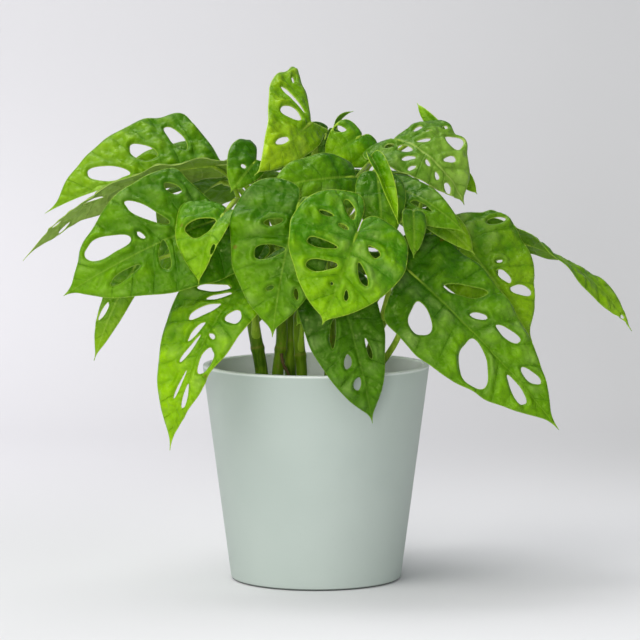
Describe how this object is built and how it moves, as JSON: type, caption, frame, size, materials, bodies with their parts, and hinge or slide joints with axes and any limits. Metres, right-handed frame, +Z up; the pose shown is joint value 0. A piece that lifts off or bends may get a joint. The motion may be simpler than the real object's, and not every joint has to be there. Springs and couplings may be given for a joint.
{
  "type": "potted monstera adansonii",
  "caption": "Potted climbing aroid with drooping heart-shaped perforated leaves on curved petioles, rising on slender vines from a tapered round pot filled with soil.",
  "frame": {"origin": "centre of the pot's flat underside", "axes": "+Z up, -Y towards the side where most leaves face, +X to the right seen from that side"},
  "size_m": [0.4195, 0.2765, 0.3606],
  "materials": {
    "pot_glaze": "matte sage green glaze",
    "soil": "loose dark potting mix of bark and peat",
    "vine": "smooth green stem",
    "aerial_root": "dry brown root",
    "leaf_lime": "soft satin leaf surface",
    "leaf_bright": "soft satin leaf surface",
    "leaf_mid": "soft satin leaf surface",
    "leaf_deep": "soft satin leaf surface",
    "leaf_olive": "soft satin leaf surface"
  },
  "bodies": {
    "root": {"pot": "pot_glaze", "soil": "soil", "stem_left": "vine", "stem_inner": "vine", "stem_centre": "vine", "stem_front": "vine", "stem_right": "vine", "stem_back": "vine", "aerial_root": "aerial_root", "leaf_left_high": "leaf_bright", "leaf_left_narrow": "leaf_olive", "leaf_left_broad": "leaf_mid", "leaf_left_small": "leaf_lime", "leaf_left_hanging": "leaf_bright", "leaf_centre_left": "leaf_mid", "leaf_centre_heart": "leaf_lime", "leaf_front_hanging": "leaf_deep", "leaf_top": "leaf_lime", "leaf_top_round": "leaf_bright", "leaf_top_dark": "leaf_deep", "leaf_crown_small": "leaf_olive", "leaf_crown_mid": "leaf_mid", "leaf_right_high": "leaf_bright", "leaf_right_long": "leaf_mid", "leaf_right_broad": "leaf_mid", "leaf_right_shoulder": "leaf_bright", "leaf_right_far": "leaf_bright", "leaf_new_rolled": "leaf_lime", "leaf_inner_right": "leaf_mid", "leaf_right_tip": "leaf_lime", "leaf_right_small": "leaf_lime", "leaf_right_inner": "leaf_bright", "leaf_left_pendant": "leaf_bright", "leaf_inner_small": "leaf_olive", "leaf_back_crown": "leaf_mid", "leaf_back_point": "leaf_lime", "leaf_left_behind": "leaf_lime", "leaf_mid_left": "leaf_mid", "leaf_back_left": "leaf_mid", "leaf_back_centre": "leaf_bright", "leaf_back_right": "leaf_mid", "leaf_back_low_left": "leaf_deep", "leaf_back_low_right": "leaf_deep", "leaf_back_side": "leaf_mid"}
  },
  "joints": []
}
